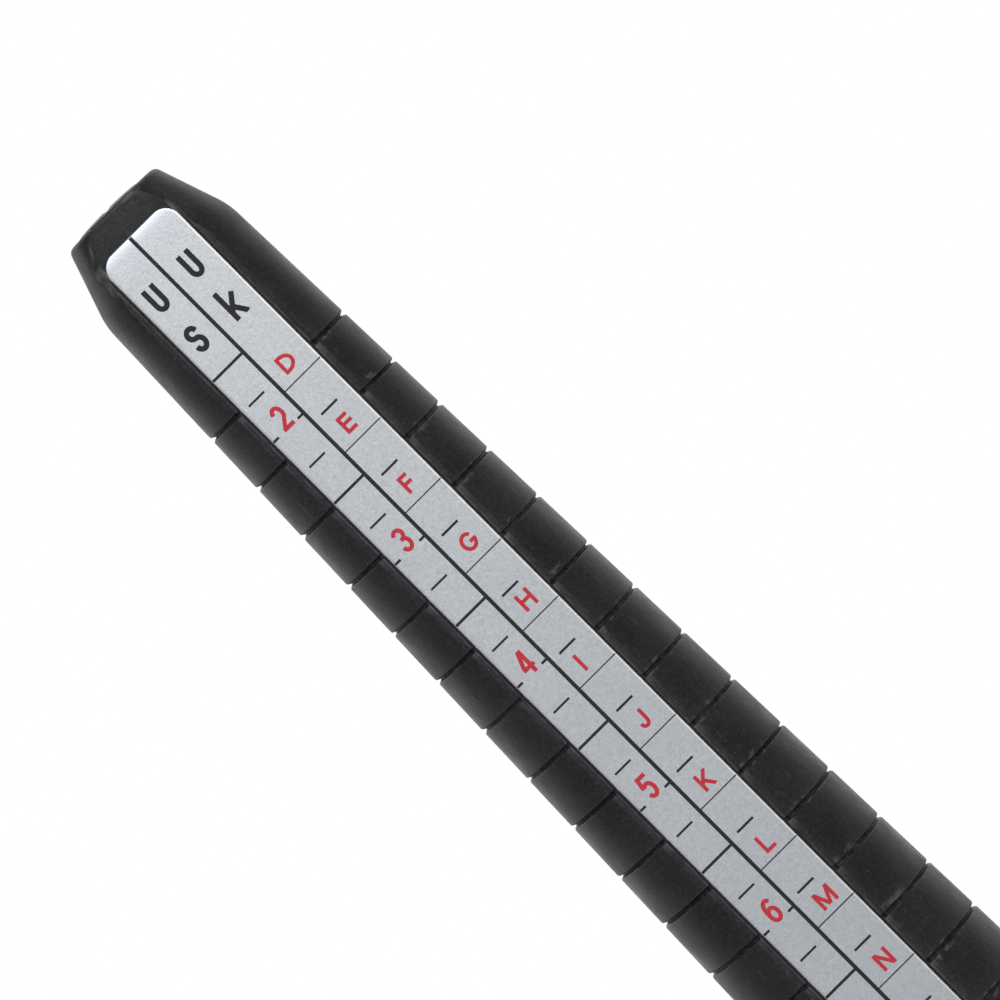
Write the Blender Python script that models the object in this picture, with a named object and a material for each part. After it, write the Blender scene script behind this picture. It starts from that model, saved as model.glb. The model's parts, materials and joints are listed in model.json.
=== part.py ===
"""Ring mandrel: a hollow tapered shaft grooved at every ring size, two scale plates and a handle.

+Z runs up the shaft to its tip, and the origin is the centre of the flat butt. The US / UK scale
faces -Y and the EU / JP scale faces +Y. An EU ring size is the ring's inner circumference in
millimetres, so size 41 sits where the shaft is 41 / pi mm across.
"""

import math

import bmesh
import bpy

MM = 0.001

# Overall heights
TIP_Z = 271.6 * MM
SHOULDER_Z = 83 * MM
SPIGOT_END_Z = 53 * MM

# Sizing cone
FIRST_SIZE = 41
LAST_SIZE = 76
FIRST_SIZE_Z = 254.85 * MM
TAPER = 14.85  # length over which the diameter grows by one
GROOVE_MOUTH = 0.44 * MM
GROOVE_FLOOR = 0.16 * MM
GROOVE_DEPTH = 0.32 * MM

# Tip
TIP_CHAMFER = 5.7 * MM
TIP_FACE_RADIUS = 4.42 * MM
TIP_EDGE_RADIUS = 0.55 * MM
TIP_FLANK_ANGLE = 15  # degrees, of the chamfer's flank from the axis

# Channels that hold the scale plates, front and back
LAND_HALF_CHORD = 3.8 * MM
CHANNEL_HALF_WIDTH = 3.57 * MM
CHANNEL_DEPTH = 1.0 * MM
CHANNEL_END_Z = 86.5 * MM
CHANNEL_CORNER = 1.5 * MM
PLATE_HALF_WIDTH = 3.37 * MM
PLATE_CORNER = 1.3 * MM
PLATE_TOP_Z = 269.25 * MM
PLATE_END_Z = 87.2 * MM
PLATE_SHIFT = -0.14 * MM
PLATE_THICKNESS = 0.35 * MM
TAPE_THICKNESS = 0.15 * MM
TAPE_INSET = 0.5 * MM
STRIP_GAP = 0.05 * MM

# Bore and spigot
BORE_TOP_Z = 258 * MM
BORE_TOP_RADIUS = 1.8 * MM
BORE_OPEN_RADIUS = 7.2 * MM
SPIGOT_RADIUS = 9.3 * MM
PLUG_LENGTH = 12 * MM
PLUG_CLEARANCE = 0.15 * MM

# Handle
FIT_GAP = 0.3 * MM
COLLAR_RADIUS = 13.9 * MM
COLLAR_HEIGHT = 5.4 * MM
COLLAR_EDGE = 1.0 * MM
GRIP_MEAN_RADIUS = 12.6 * MM
GRIP_SWELL = 0.8 * MM
GRIP_SWELL_Z = 28 * MM
GRIP_SWELL_PERIOD = 80 * MM
GRIP_END_EDGE = 1.2 * MM
GRIP_END_SHARES = (0, 0.1, 0.4, 1)  # of the end's rounding, from the end inwards
FLUTES = 12
FLUTE_DEPTH = 0.9 * MM
FLUTE_LOW_Z = 9 * MM
FLUTE_HIGH_Z = 71 * MM
FLUTE_FADE = 6 * MM
SEGMENTS_PER_FLUTE = 4
FADE_STEPS = 2
FLUTE_STEPS = 6
SOCKET_RADIUS = SPIGOT_RADIUS + FIT_GAP
WEB_HEIGHT = 6 * MM
COUNTERBORE_RADIUS = 8.5 * MM

# Fastener
SCREW_RADIUS = 1.75 * MM
SCREW_TIP_RADIUS = 0.6 * MM
SCREW_LENGTH = 19 * MM
SCREW_POINT = 2.5 * MM
SCREW_HEAD_RADIUS = 3.4 * MM
SCREW_HEAD_HEIGHT = 2.4 * MM
SCREW_CROWN_RADIUS = 2.4 * MM
SCREW_SLOT = 0.9 * MM
SCREW_SLOT_LENGTH = 4.1 * MM
SCREW_SLOT_DEPTH = 1.1 * MM
WASHER_RADIUS = 5 * MM
WASHER_THICKNESS = 1 * MM

# End cap
CAP_RADIUS = 11.2 * MM
CAP_THICKNESS = 2.4 * MM
CAP_EDGE = 0.6 * MM
CAP_SKIRT_RADIUS = 8.2 * MM
CAP_SKIRT_WALL = 1.5 * MM
CAP_SKIRT_HEIGHT = 8 * MM

SHAFT_SEGMENTS = 24
ROUND_SEGMENTS = 32
SMALL_SEGMENTS = 20
EDGE_STEPS = 3
CORNER_STEPS = 4
PLATE_STATIONS = 12
OVERCUT = 5 * MM
SMOOTH_ANGLE = math.radians(30)
WELD = 1e-7


def clear_scene():
    for item in list(bpy.data.objects):
        bpy.data.objects.remove(item, do_unlink=True)


def material(name, colour, roughness, metallic=0.0):
    made = bpy.data.materials.new(name)
    made.use_nodes = True
    shader = made.node_tree.nodes["Principled BSDF"]
    shader.inputs["Base Color"].default_value = (*colour, 1)
    shader.inputs["Roughness"].default_value = roughness
    shader.inputs["Metallic"].default_value = metallic
    return made


def object_from(name, bm, finish):
    """A closed, outward-facing, smooth-shaded object with one material."""
    bmesh.ops.remove_doubles(bm, verts=bm.verts, dist=WELD)
    bmesh.ops.recalc_face_normals(bm, faces=bm.faces)
    mesh = bpy.data.meshes.new(name)
    bm.to_mesh(mesh)
    bm.free()
    mesh.shade_smooth()
    mesh.set_sharp_from_angle(angle=SMOOTH_ANGLE)
    mesh.materials.append(finish)
    made = bpy.data.objects.new(name, mesh)
    bpy.context.scene.collection.objects.link(made)
    return made


def revolve(name, outline, segments, finish):
    """Turns an outline of (radius, z) points about Z. It is closed, or it ends on the axis twice."""
    bm = bmesh.new()
    points = [bm.verts.new((radius, 0, z)) for radius, z in outline]
    edges = [bm.edges.new(pair) for pair in zip(points, points[1:])]
    if min(outline[0][0], outline[-1][0]) > 0:
        edges.append(bm.edges.new((points[-1], points[0])))
    bmesh.ops.spin(
        bm,
        geom=points + edges,
        axis=(0, 0, 1),
        cent=(0, 0, 0),
        steps=segments,
        angle=math.tau,
        use_merge=True,
    )
    return object_from(name, bm, finish)


def loft(name, rings, finish):
    """Joins rings of equal point count in order, and caps the first and the last."""
    bm = bmesh.new()
    loops = [[bm.verts.new(point) for point in ring] for ring in rings]
    count = len(loops[0])
    for low, high in zip(loops, loops[1:]):
        for i in range(count):
            j = (i + 1) % count
            bm.faces.new((low[i], low[j], high[j], high[i]))
    bm.faces.new(loops[0])
    bm.faces.new(loops[-1])
    return object_from(name, bm, finish)


def cut(target, cutter):
    cutter.hide_render = True
    cutter.display_type = "WIRE"
    modifier = target.modifiers.new(f"cut_{cutter.name}", "BOOLEAN")
    modifier.operation = "DIFFERENCE"
    modifier.solver = "EXACT"
    modifier.object = cutter


def size_z(size):
    """Height at which a ring of this EU size sits."""
    return FIRST_SIZE_Z - (size - FIRST_SIZE) * MM / math.pi * TAPER


def cone_radius(z):
    diameter = FIRST_SIZE * MM / math.pi + (FIRST_SIZE_Z - z) / TAPER
    return diameter / 2


def channel_floor(z):
    """Distance of a channel's floor from the axis."""
    return math.sqrt(cone_radius(z) ** 2 - LAND_HALF_CHORD**2) - CHANNEL_DEPTH


def bore_radius(z):
    share = (z - SPIGOT_END_Z) / (BORE_TOP_Z - SPIGOT_END_Z)
    return BORE_OPEN_RADIUS + share * (BORE_TOP_RADIUS - BORE_OPEN_RADIUS)


def arc(centre_radius, centre_z, radius, start, end, steps):
    """Points of an arc in the (radius, z) plane, with its angles in degrees."""
    angles = [math.radians(start + (end - start) * i / steps) for i in range(steps + 1)]
    return [
        (centre_radius + radius * math.cos(a), centre_z + radius * math.sin(a)) for a in angles
    ]


def groove_points(size):
    """Outline of one sizing groove, from below it to above it."""
    z = size_z(size)
    return [
        (cone_radius(z - GROOVE_MOUTH / 2), z - GROOVE_MOUTH / 2),
        (cone_radius(z) - GROOVE_DEPTH, z - GROOVE_FLOOR / 2),
        (cone_radius(z) - GROOVE_DEPTH, z + GROOVE_FLOOR / 2),
        (cone_radius(z + GROOVE_MOUTH / 2), z + GROOVE_MOUTH / 2),
    ]


def strip_rings(side, low_z, high_z, half_width, corner, shift, inner, outer, round_top=True):
    """Cross-sections of a strip that lies along a channel. Its inner and outer faces keep the
    given distances from the channel's floor. side is -1 for the front and +1 for the back."""
    steps = range(CORNER_STEPS + 1)
    rounding = [math.pi / 2 * i / CORNER_STEPS for i in steps]
    ends = [(corner * (1 - math.cos(a)), corner * (1 - math.sin(a))) for a in rounding]
    stations = [(low_z + rise, half_width - inset) for rise, inset in ends]
    top = high_z - (corner if round_top else 0)
    run = top - stations[-1][0]
    bottom = stations[-1][0]
    stations += [
        (bottom + run * i / PLATE_STATIONS, half_width) for i in range(1, PLATE_STATIONS + 1)
    ]
    if round_top:
        stations += [(high_z - rise, half_width - inset) for rise, inset in ends[-2::-1]]
    rings = []
    for z, width in stations:
        near = side * (channel_floor(z) + inner)
        far = side * (channel_floor(z) + outer)
        # Seen from outside, a positive shift moves the strip to the right on either side.
        middle = -side * shift
        rings.append(
            [
                (middle - width, near, z),
                (middle + width, near, z),
                (middle + width, far, z),
                (middle - width, far, z),
            ]
        )
    return rings


def make_shaft(finish):
    face_edge = arc(
        TIP_FACE_RADIUS - TIP_EDGE_RADIUS,
        TIP_Z - TIP_EDGE_RADIUS,
        TIP_EDGE_RADIUS,
        TIP_FLANK_ANGLE,
        90,
        EDGE_STEPS,
    )
    outline = [(0, SPIGOT_END_Z), (SPIGOT_RADIUS, SPIGOT_END_Z), (SPIGOT_RADIUS, SHOULDER_Z)]
    outline.append((cone_radius(SHOULDER_Z), SHOULDER_Z))
    for size in range(LAST_SIZE, FIRST_SIZE - 1, -1):
        outline += groove_points(size)
    outline.append((cone_radius(TIP_Z - TIP_CHAMFER), TIP_Z - TIP_CHAMFER))
    outline += face_edge
    outline.append((0, TIP_Z))
    shaft = revolve("shaft_moulding", outline, SHAFT_SEGMENTS, finish)
    bore = revolve(
        "bore_cutter",
        [
            (0, SPIGOT_END_Z - OVERCUT),
            (bore_radius(SPIGOT_END_Z - OVERCUT), SPIGOT_END_Z - OVERCUT),
            (BORE_TOP_RADIUS, BORE_TOP_Z),
            (0, BORE_TOP_Z + BORE_TOP_RADIUS / 2),
        ],
        SHAFT_SEGMENTS,
        finish,
    )
    cut(shaft, bore)
    for side, place in ((-1, "front"), (1, "back")):
        rings = strip_rings(
            side,
            CHANNEL_END_Z,
            TIP_Z + OVERCUT,
            CHANNEL_HALF_WIDTH,
            CHANNEL_CORNER,
            PLATE_SHIFT,
            0,
            OVERCUT,
            round_top=False,
        )
        cut(shaft, loft(f"{place}_channel_cutter", rings, finish))
    return shaft


def make_strips(side, place, plate_finish, tape_finish):
    """One scale plate and the double-sided tape under it."""
    tape_top = STRIP_GAP + TAPE_THICKNESS
    plate_low = tape_top + STRIP_GAP
    tape = strip_rings(
        side,
        PLATE_END_Z + TAPE_INSET,
        PLATE_TOP_Z - TAPE_INSET,
        PLATE_HALF_WIDTH - TAPE_INSET,
        PLATE_CORNER - TAPE_INSET,
        PLATE_SHIFT,
        STRIP_GAP,
        tape_top,
    )
    loft(f"{place}_adhesive_strip", tape, tape_finish)
    plate = strip_rings(
        side,
        PLATE_END_Z,
        PLATE_TOP_Z,
        PLATE_HALF_WIDTH,
        PLATE_CORNER,
        PLATE_SHIFT,
        plate_low,
        plate_low + PLATE_THICKNESS,
    )
    loft(f"{place}_scale_plate", plate, plate_finish)


def make_spigot_plug(finish):
    """The plug pressed into the open end of the bore, which the handle's screw bites into."""
    low = SPIGOT_END_Z + FIT_GAP
    high = low + PLUG_LENGTH
    hole = SCREW_RADIUS + FIT_GAP
    outline = [
        (hole, low),
        (bore_radius(low) - PLUG_CLEARANCE, low),
        (bore_radius(high) - PLUG_CLEARANCE, high),
        (hole, high),
    ]
    revolve("spigot_plug", outline, ROUND_SEGMENTS, finish)


def make_collar(finish):
    high = SHOULDER_Z - FIT_GAP
    low = high - COLLAR_HEIGHT
    rim = COLLAR_RADIUS - COLLAR_EDGE
    outline = [(SOCKET_RADIUS, low)]
    outline += arc(rim, low + COLLAR_EDGE, COLLAR_EDGE, -90, 0, EDGE_STEPS)
    outline += arc(rim, high - COLLAR_EDGE, COLLAR_EDGE, 0, 90, EDGE_STEPS)
    outline.append((SOCKET_RADIUS, high))
    revolve("handle_collar", outline, ROUND_SEGMENTS, finish)
    return low


def grip_radius(z, angle, low, high):
    """Outer radius of the fluted grip: a palm swell, rounded ends and flutes that fade out."""
    swell = math.cos(math.tau * (z - GRIP_SWELL_Z) / GRIP_SWELL_PERIOD)
    radius = GRIP_MEAN_RADIUS + GRIP_SWELL * swell
    from_end = min(z - low, high - z)
    if from_end < GRIP_END_EDGE:
        reach = 1 - from_end / GRIP_END_EDGE
        radius -= GRIP_END_EDGE * (1 - math.sqrt(1 - reach**2))
    into_flute = min(z - FLUTE_LOW_Z, FLUTE_HIGH_Z - z) / FLUTE_FADE
    share = min(max(into_flute, 0), 1)
    fade = share * share * (3 - 2 * share)
    return radius - FLUTE_DEPTH * fade * math.sin(FLUTES / 2 * angle) ** 2


def make_grip(collar_low, finish):
    low = CAP_THICKNESS + FIT_GAP
    high = collar_low - FIT_GAP
    edge = [GRIP_END_EDGE * share for share in GRIP_END_SHARES]
    fade = [FLUTE_FADE * i / FADE_STEPS for i in range(FADE_STEPS + 1)]
    full_low = FLUTE_LOW_Z + FLUTE_FADE
    full_high = FLUTE_HIGH_Z - FLUTE_FADE
    step = (full_high - full_low) / FLUTE_STEPS
    heights = [low + rise for rise in edge]
    heights += [FLUTE_LOW_Z + rise for rise in fade]
    heights += [full_low + step * i for i in range(1, FLUTE_STEPS)]
    heights += [FLUTE_HIGH_Z - rise for rise in reversed(fade)]
    heights += [high - rise for rise in reversed(edge)]
    count = FLUTES * SEGMENTS_PER_FLUTE
    rings = []
    for z in heights:
        angles = [math.tau * i / count for i in range(count)]
        radii = [grip_radius(z, angle, low, high) for angle in angles]
        rings.append([(r * math.cos(a), r * math.sin(a), z) for r, a in zip(radii, angles)])
    grip = loft("handle_grip", rings, finish)
    web_high = SPIGOT_END_Z - FIT_GAP
    web_low = web_high - WEB_HEIGHT
    hole = SCREW_RADIUS + FIT_GAP
    hollow = revolve(
        "grip_hollow_cutter",
        [
            (0, low - OVERCUT),
            (COUNTERBORE_RADIUS, low - OVERCUT),
            (COUNTERBORE_RADIUS, web_low),
            (hole, web_low),
            (hole, web_high),
            (SOCKET_RADIUS, web_high),
            (SOCKET_RADIUS, high + OVERCUT),
            (0, high + OVERCUT),
        ],
        ROUND_SEGMENTS,
        finish,
    )
    cut(grip, hollow)
    return web_low


def make_fastener(web_low, finish):
    """The washer under the grip's web, and the self-tapping screw that runs up through it."""
    washer_high = web_low - FIT_GAP
    washer_low = washer_high - WASHER_THICKNESS
    hole = SCREW_RADIUS + FIT_GAP
    washer = [
        (hole, washer_low),
        (WASHER_RADIUS, washer_low),
        (WASHER_RADIUS, washer_high),
        (hole, washer_high),
    ]
    revolve("screw_washer", washer, SMALL_SEGMENTS, finish)
    seat = washer_low - FIT_GAP
    head_low = seat - SCREW_HEAD_HEIGHT
    tip = seat + SCREW_LENGTH
    screw = revolve(
        "handle_screw",
        [
            (0, head_low),
            (SCREW_CROWN_RADIUS, head_low),
            (SCREW_HEAD_RADIUS, head_low + SCREW_HEAD_HEIGHT / 2),
            (SCREW_HEAD_RADIUS, seat),
            (SCREW_RADIUS, seat),
            (SCREW_RADIUS, tip - SCREW_POINT),
            (SCREW_TIP_RADIUS, tip),
            (0, tip),
        ],
        SMALL_SEGMENTS,
        finish,
    )
    for along, across, name in (
        (SCREW_SLOT_LENGTH, SCREW_SLOT, "slot_cutter_x"),
        (SCREW_SLOT, SCREW_SLOT_LENGTH, "slot_cutter_y"),
    ):
        corners = [(-along, -across), (along, -across), (along, across), (-along, across)]
        levels = (head_low - OVERCUT, head_low + SCREW_SLOT_DEPTH)
        rings = [[(x / 2, y / 2, z) for x, y in corners] for z in levels]
        cut(screw, loft(name, rings, finish))


def make_end_cap(finish):
    """The cap that closes the grip. Its flat face is what the tool stands on."""
    skirt_top = CAP_THICKNESS + CAP_SKIRT_HEIGHT
    inside = CAP_SKIRT_RADIUS - CAP_SKIRT_WALL
    outline = [(0, 0)]
    outline += arc(CAP_RADIUS - CAP_EDGE, CAP_EDGE, CAP_EDGE, -90, 0, EDGE_STEPS)
    outline += [
        (CAP_RADIUS, CAP_THICKNESS),
        (CAP_SKIRT_RADIUS, CAP_THICKNESS),
        (CAP_SKIRT_RADIUS, skirt_top),
        (inside, skirt_top),
        (inside, CAP_THICKNESS),
        (0, CAP_THICKNESS),
    ]
    revolve("handle_end_cap", outline, ROUND_SEGMENTS, finish)


def main():
    clear_scene()
    shaft_plastic = material("black_plastic", (0.022, 0.023, 0.024), 0.5)
    grip_plastic = material("grip_plastic", (0.018, 0.018, 0.019), 0.55)
    inner_plastic = material("natural_plastic", (0.55, 0.53, 0.47), 0.5)
    plate_metal = material("scale_aluminium", (0.62, 0.64, 0.67), 0.38, 0.9)
    tape = material("adhesive_tape", (0.78, 0.76, 0.7), 0.7)
    steel = material("zinc_steel", (0.6, 0.6, 0.58), 0.3, 1.0)
    make_shaft(shaft_plastic)
    make_strips(-1, "front", plate_metal, tape)
    make_strips(1, "back", plate_metal, tape)
    make_spigot_plug(inner_plastic)
    collar_low = make_collar(grip_plastic)
    web_low = make_grip(collar_low, grip_plastic)
    make_fastener(web_low, steel)
    make_end_cap(grip_plastic)


main()
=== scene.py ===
"""The looks of the ring mandrel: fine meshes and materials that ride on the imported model.

Lengths are in millimetres, as on the tool's own scales, and a mesh is turned into metres when it
is made. +Z runs up the shaft to its tip, the US / UK scale faces -Y and the EU / JP scale +Y.
"""

import json
import math
import random

import bpy
from mathutils import Matrix, Vector
from mathutils.geometry import delaunay_2d_cdt

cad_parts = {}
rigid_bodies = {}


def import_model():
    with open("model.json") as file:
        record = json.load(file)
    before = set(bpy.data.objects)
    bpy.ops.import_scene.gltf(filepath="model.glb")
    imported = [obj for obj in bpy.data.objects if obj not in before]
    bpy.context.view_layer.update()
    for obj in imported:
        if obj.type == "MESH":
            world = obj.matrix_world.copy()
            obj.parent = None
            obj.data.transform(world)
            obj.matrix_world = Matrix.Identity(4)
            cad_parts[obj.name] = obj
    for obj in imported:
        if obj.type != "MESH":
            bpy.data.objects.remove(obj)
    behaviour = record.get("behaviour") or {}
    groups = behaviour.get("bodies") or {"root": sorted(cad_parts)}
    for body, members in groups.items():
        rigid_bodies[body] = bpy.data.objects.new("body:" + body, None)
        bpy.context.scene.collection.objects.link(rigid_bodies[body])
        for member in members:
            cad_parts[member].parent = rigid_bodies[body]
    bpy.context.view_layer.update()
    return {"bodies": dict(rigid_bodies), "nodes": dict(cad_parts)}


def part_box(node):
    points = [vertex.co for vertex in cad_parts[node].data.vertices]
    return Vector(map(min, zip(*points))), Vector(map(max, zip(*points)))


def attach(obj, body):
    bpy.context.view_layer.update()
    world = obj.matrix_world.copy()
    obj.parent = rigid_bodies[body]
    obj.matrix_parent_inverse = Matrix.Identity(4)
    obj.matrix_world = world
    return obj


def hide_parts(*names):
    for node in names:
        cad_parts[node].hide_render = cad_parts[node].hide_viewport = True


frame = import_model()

MM = 0.001
BODY = next(iter(frame["bodies"]))
FRONT = -1
BACK = 1

# Heights of the model's main edges, read from the frame
TIP_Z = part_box("shaft_moulding")[1].z / MM
SPIGOT_END_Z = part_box("shaft_moulding")[0].z / MM
PLATE_TOP_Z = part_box("front_scale_plate")[1].z / MM
PLATE_END_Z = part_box("front_scale_plate")[0].z / MM
COLLAR_LOW_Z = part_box("handle_collar")[0].z / MM
COLLAR_HIGH_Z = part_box("handle_collar")[1].z / MM
COLLAR_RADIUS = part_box("handle_collar")[1].x / MM
GRIP_LOW_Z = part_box("handle_grip")[0].z / MM
GRIP_HIGH_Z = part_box("handle_grip")[1].z / MM
CAP_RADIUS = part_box("handle_end_cap")[1].x / MM
CAP_TOP_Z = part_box("handle_end_cap")[1].z / MM
WASHER_TOP_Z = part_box("screw_washer")[1].z / MM

# Sizing cone: an EU size is the ring's inner circumference in millimetres
FIRST_SIZE = 41
LAST_SIZE = 76
FIRST_SIZE_Z = 254.85
TAPER = 14.85
SHOULDER_Z = 83
SHOULDER_EDGE = 0.5

# Sizing grooves. The two halves of the mould don't quite meet, so the grooves of the right half
# sit a little low, and each groove is a little off its height. They sit a little high on average.
GROOVE_FLOOR = 0.06
GROOVE_MOUTH = 0.29
GROOVE_DEPTH = 0.32
GROOVE_FOOT = 0.02
BAND_EDGE = 0.13
BAND_EDGE_ANGLES = (20, 50, 90)
GROOVE_SPREAD = 0.12
GROOVE_WANDER = 0.165
GROOVE_RISE = 0.08
MOULD_SLIP = 0.15
BAND_STATIONS = 3

# Tip
TIP_CHAMFER = 5.7
TIP_FACE_RADIUS = 4.42
TIP_EDGE_RADIUS = 0.6
TIP_KNEE = 0.8
TIP_FACE_RINGS = (0.94, 0.86, 0.78, 0.7, 0.64, 0.59, 0.55, 0.5, 0.42, 0.33, 0.24, 0.15, 0.07)
TIP_DOME = 0.03
CHANNEL_LIP = 0.2
GATE_MIDDLE = -0.3
GATE_RADIUS = 3.0
GATE_HEIGHT = 0.2
GATE_SPLIT = 0.35
GATE_SPLIT_HEIGHT = 0.35

# Channels and plates
LAND_HALF_CHORD = 3.8
CHANNEL_HALF_WIDTH = 3.53
CHANNEL_DEPTH = 1.0
CHANNEL_END_Z = 86.5
CHANNEL_CORNER = 1.5
CHANNEL_FILLET = 0.25
CHANNEL_RUN_OUT = 0.1
LAND_OUTER = 4.02
LAND_BLEND = 0.12
LAND_EDGE = 0.06
LIP_WIDTH = 0.16
LIP_HEIGHT = 0.07
LIP_IN = CHANNEL_HALF_WIDTH - 0.02
LIP_OUT = CHANNEL_HALF_WIDTH + LIP_WIDTH
LIP_WAVES = ((0.3, 1.9, 1), (0.35, 4.3, 2.1))
LIP_PHASES = (1, 4)
TIP_LIP_PHASE = 2
LEAST_WALL = 0.03
PLATE_HALF_WIDTH = 3.37
PLATE_SHIFT = -0.14
PLATE_CORNER = 1.3
PLATE_LOW = 0.25
PLATE_HIGH = 0.6
PLATE_EDGE = 0.05
PLATE_ROLL = 0.45
PLATE_ROLL_DROP = 0.006
PLATE_END_ROLL = 0.7
PLATE_END_DROP = 0.03
PLATE_STEP = 8

# Bore and spigot
BORE_TOP_Z = 258
BORE_TOP_RADIUS = 1.8
BORE_OPEN_RADIUS = 7.2
SPIGOT_RADIUS = 9.3
SPIGOT_EDGE = 0.3

# Handle
SOCKET_RADIUS = 9.6
SOCKET_EDGE = 0.3
COLLAR_EDGE = 1.0
GRIP_MEAN_RADIUS = 12.6
GRIP_SWELL = 0.8
GRIP_SWELL_Z = 28
GRIP_SWELL_PERIOD = 80
GRIP_END_EDGE = 1.2
FLUTES = 12
FLUTE_DEPTH = 0.9
FLUTE_LOW_Z = 9
FLUTE_HIGH_Z = 71
FLUTE_FADE = 6
FLUTE_POWER = 1.6
SEGMENTS_PER_FLUTE = 14
GRIP_STEPS = 60
WEB_HIGH_Z = SPIGOT_END_Z - 0.3
WEB_LOW_Z = WASHER_TOP_Z + 0.3
SCREW_HOLE_RADIUS = 2.05
COUNTERBORE_RADIUS = 8.5
CAP_THICKNESS = 2.4
CAP_EDGE = 0.6
CAP_SKIRT_RADIUS = 8.2
CAP_SKIRT_WALL = 1.5
CAP_DISH_RADIUS = 6.5
CAP_DISH_DEPTH = 0.35
CAP_DISH_SLOPE = 0.5
CAP_MIDDLE_RADIUS = 0.4
CAP_RIM_EDGE = 0.2
CAP_SKIRT_EDGE = 0.4

# Printed scales. Across is measured to the right of the shaft's middle by someone who reads
# the plate with the tip up, and down is measured from the print's zero towards the handle.
# A figure or a capital is (width, height, stroke), a tick is (middle, length, width), and a
# letter's nudge is (to the right, up).
PRINT_ZERO_Z = 255
PRINT_LIFT = 0.004
PRINT_THICKNESS = 0.012
PRINT_MARGIN = 0.07
MERGE_DISTANCE = 1e-5
GENTLE_BEND = 0.5
DIVIDER = -0.45
DIVIDER_WIDTH = 0.285
DIVIDER_ROLL_STEPS = 8
PRINT_HALF_WIDTH = PLATE_HALF_WIDTH - PRINT_MARGIN
LEFT_COLUMN = (PLATE_SHIFT - PRINT_HALF_WIDTH, DIVIDER - DIVIDER_WIDTH / 2)
RIGHT_COLUMN = (DIVIDER + DIVIDER_WIDTH / 2, PLATE_SHIFT + PRINT_HALF_WIDTH)
US_FIRST_SIZE = 2
US_LAST_SIZE = 15
US_FIRST_DOWN = 3.096
US_STEP = 12.229
US_DRIFT = 0.03
US_DRIFT_MIDDLE = 3.9
US_DRIFT_END = 6.5
US_HALF_WIDTH = 0.21
US_QUARTER = (-2.12, 1.53, 0.16)
US_INNER_TICK = 0.44
US_OUTER_TICK = 0.53
US_TICK_WIDTH = 0.185
US_FIGURE = (1.0, 1.95, 0.305)
US_FIGURE_MIDDLE = -1.83
US_FIGURE_DROP = 0.1
FIGURE_GAP = 0.22
UK_LETTERS = "DEFGHIJKLMNOPQRSTUVWXYZ"
UK_FIRST_DOWN = 1.23
UK_STEP = 6.02
UK_SHORT_STEP = 5.7
UK_SHORT_AFTER = "GHLPTX"
UK_LINE_WIDTH = 0.09
UK_HALF_DROP = 2.95
UK_HALF = (1.12, 1.56, 0.18)
UK_CAP_HEIGHT = 1.42
UK_STROKE = 0.27
UK_LETTER_LEFT = 1.27
UK_HIGH_LETTERS = "DEFGHIJ"
UK_HIGH_RISE = 0.7
UK_LOW_RISE = 0.5
UK_EXTRA_SIZES = 5
UK_LETTER_NUDGE = {
    "D": (-0.2, 0),
    "E": (-0.07, 0),
    "G": (-0.05, 0.05),
    "I": (0, -0.14),
    "J": (-0.02, 0),
    "K": (0, 0.07),
}
UK_LETTER_WIDTH = 1.14
UK_FIGURE_WIDTH = 0.72
UK_OTHER_WIDTHS = {"D": 1.2, "E": 1.06, "F": 0.95, "G": 1.25, "I": UK_STROKE, "J": 0.85, "K": 1.13}
UK_OTHER_WIDTHS.update({"L": 0.92, "M": 1.42, "N": 1.17, "O": 1.3, "Q": 1.3, "S": 1.08, "W": 1.6})
UK_LETTER_GAP = 0.15
EU_FIGURE = (0.72, 1.55, 0.2)
EU_FIGURE_MIDDLE = -1.97
JP_SIZE_ZERO = 12.667
JP_SIZE_STEP = 1 / 3
JP_LAST_SIZE = 33
JP_FIGURE = (0.8, 1.42, 0.21)
JP_FIGURE_MIDDLE = 1.4
TITLE_CAPITAL = (1.15, 2.14, 0.39)
TITLE_TALL = (1.38, 2.55, 0.39)
TITLE_MIDDLES = (-2.12, 1.35)
TITLE_FIRST_DOWN = -8.71
TITLE_SECOND_DOWN = -4.74
TITLE_TALL_DOWN = -4.64

ARC_STEPS = 14
ROUND_SEGMENTS = 96
SMOOTH_ANGLE = math.radians(38)
SEED = 363637

# Camera: where it looks, and from where, as angles round the shaft
CAMERA_AIM = (4.96, 0.0, 237.57)
CAMERA_DISTANCE = 801.98
CAMERA_AZIMUTH = 0.653
CAMERA_ELEVATION = 1.141
CAMERA_ROLL = 44.894
CAMERA_LENS = 406.93
SENSOR_WIDTH = 36

# Light: the room's colour from the camera's side round to behind the model, and the softbox
ROOM_LIGHT = (
    (0.0, (0.6, 0.61, 0.63)),
    (0.35, (0.34, 0.35, 0.37)),
    (0.6, (0.34, 0.34, 0.35)),
    (0.85, (1.0, 1.0, 0.99)),
)
ROOM_STRENGTH = 1.25
KEY_PLACE = (60, -420, 520)
KEY_AIM = (0, 0, 262)
KEY_SIZE = (240, 180)
KEY_POWER = 1.5
FLOOR_RADIUS = 1500
FLOOR_Z = -0.2

# Colours of what lies on the plastic, also used for painted highlights and sheen on it
DUST_AND_HIGHLIGHT = (0.13, 0.13, 0.125)
PALE_DUST_AND_LIGHT = (0.17, 0.17, 0.18)
LINT = (0.4, 0.4, 0.39)


# -------------------- meshes


def mesh_object(name, points, faces, finish):
    """A smooth-shaded object with sharp creases, from points in millimetres."""
    mesh = bpy.data.meshes.new(name)
    mesh.from_pydata([Vector(point) * MM for point in points], [], faces)
    mesh.validate()
    mesh.update()
    mesh.shade_smooth()
    mesh.set_sharp_from_angle(angle=SMOOTH_ANGLE)
    mesh.materials.append(finish)
    made = bpy.data.objects.new(name, mesh)
    bpy.context.scene.collection.objects.link(made)
    return made


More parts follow.
